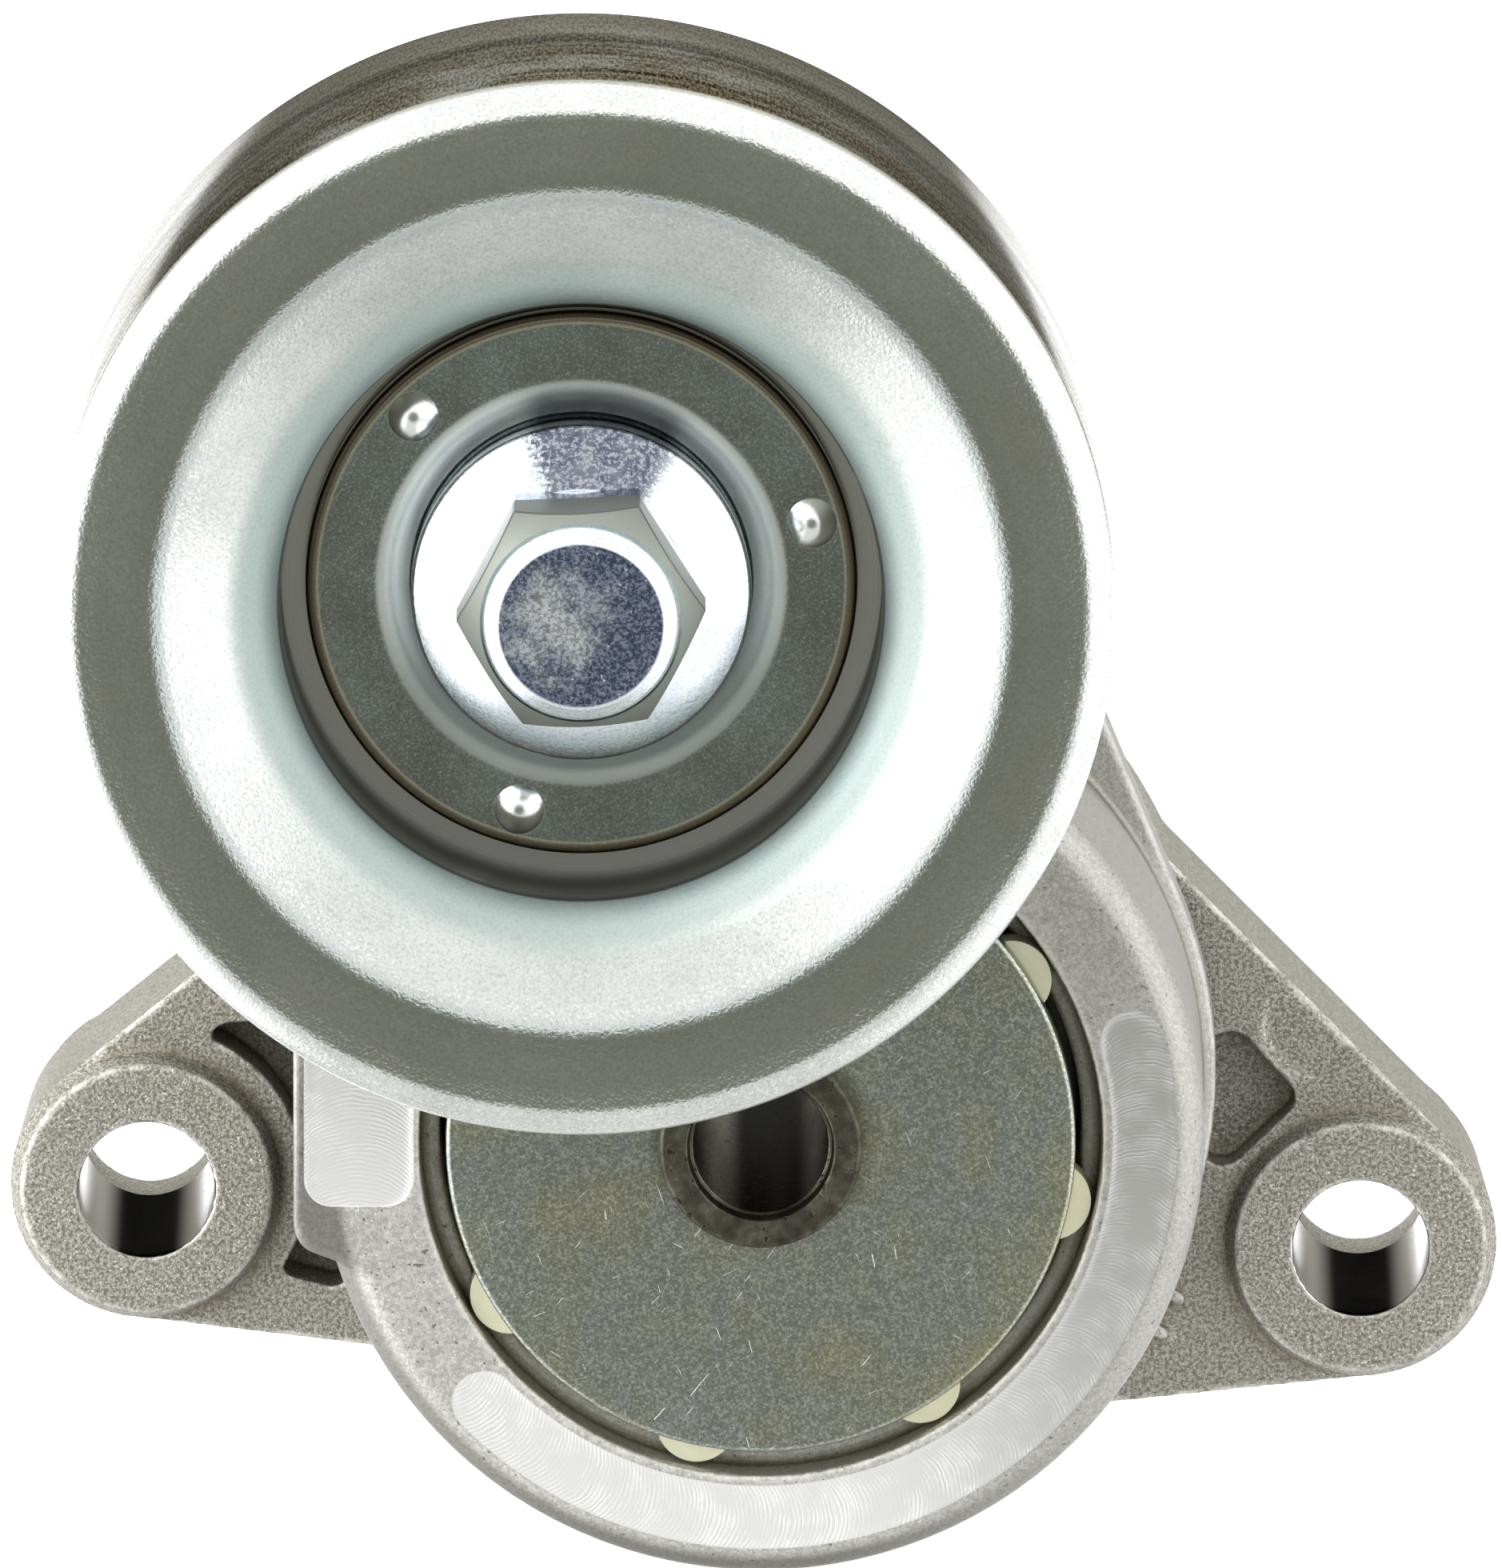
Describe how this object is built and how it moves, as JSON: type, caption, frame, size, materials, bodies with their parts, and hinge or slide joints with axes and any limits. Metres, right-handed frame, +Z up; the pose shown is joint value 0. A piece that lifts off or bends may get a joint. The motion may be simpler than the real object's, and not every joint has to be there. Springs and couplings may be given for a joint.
{
  "type": "belt tensioner idler",
  "caption": "Automatic belt tensioner: a spring-loaded cast arm on a two-bolt base presses a smooth steel idler pulley on a ball bearing against a drive belt",
  "frame": {"origin": "on the arm's pivot axis, in the plane of the mounting face behind the two bolt bosses", "axes": "-Y points out of the front, along the pivot and pulley axes; +Z is up across the arm; +X is to the right seen from the front"},
  "size_m": [0.0975, 0.0911, 0.105],
  "materials": {
    "base_casting": "bead-blasted die casting, sandy grain",
    "arm_casting": "die casting with milled patches",
    "pulley_plating": "pressed steel, clear zinc plating",
    "shield_plating": "pressed steel, blue-green zinc plating",
    "bolt_plating": "bright blue-white zinc plating",
    "disc_plating": "steel, olive zinc plating with fine scratches",
    "shaft_steel": "oxidised bare steel",
    "nylon": "natural nylon, cream",
    "dark_polymer": "filled nylon, dark grey",
    "spring_steel": "oiled spring wire",
    "bearing_steel": "ground bearing steel",
    "cage_steel": "pressed sheet",
    "seal_rubber": "moulded seal"
  },
  "bodies": {
    "base": {"base_bracket": "base_casting", "pivot_shaft": "shaft_steel", "thrust_washer": "dark_polymer", "spring_seat": "dark_polymer", "torsion_spring": "spring_steel", "friction_ring": "nylon", "retainer_disc": "disc_plating"},
    "arm": {"tensioner_arm": "arm_casting", "pivot_bush": "nylon", "pulley_bolt": "bolt_plating", "bolt_collar": "bolt_plating", "front_dust_shield": "shield_plating", "rear_dust_shield": "shield_plating", "bearing_inner_ring": "bearing_steel", "bearing_sleeve": "bearing_steel"},
    "pulley": {"pulley_shell": "pulley_plating", "bearing_outer_ring": "bearing_steel", "bearing_seal_front": "seal_rubber", "bearing_seal_rear": "seal_rubber"},
    "cage": {"bearing_balls": "bearing_steel", "bearing_cage": "cage_steel"}
  },
  "joints": [
    {"name": "arm_pivot", "type": "hinge", "parent": "base", "child": "arm", "pos_m": [0, 0, 0], "axis": [0, 1, 0], "range_deg": [0, 45], "stiffness_Nm_per_rad": 12, "springref_deg": -34.38, "deforming": ["torsion_spring"]},
    {"name": "pulley_spin", "type": "hinge", "parent": "arm", "child": "pulley", "pos_m": [-0.01159, -0.067, 0.04068], "axis": [0, 1, 0], "continuous": true},
    {"name": "cage_spin", "type": "hinge", "parent": "arm", "child": "cage", "pos_m": [-0.01159, -0.067, 0.04068], "axis": [0, 1, 0], "continuous": true}
  ],
  "couplings": [
    {"joint": "cage_spin", "follows": "pulley_spin", "ratio": 0.6184}
  ]
}
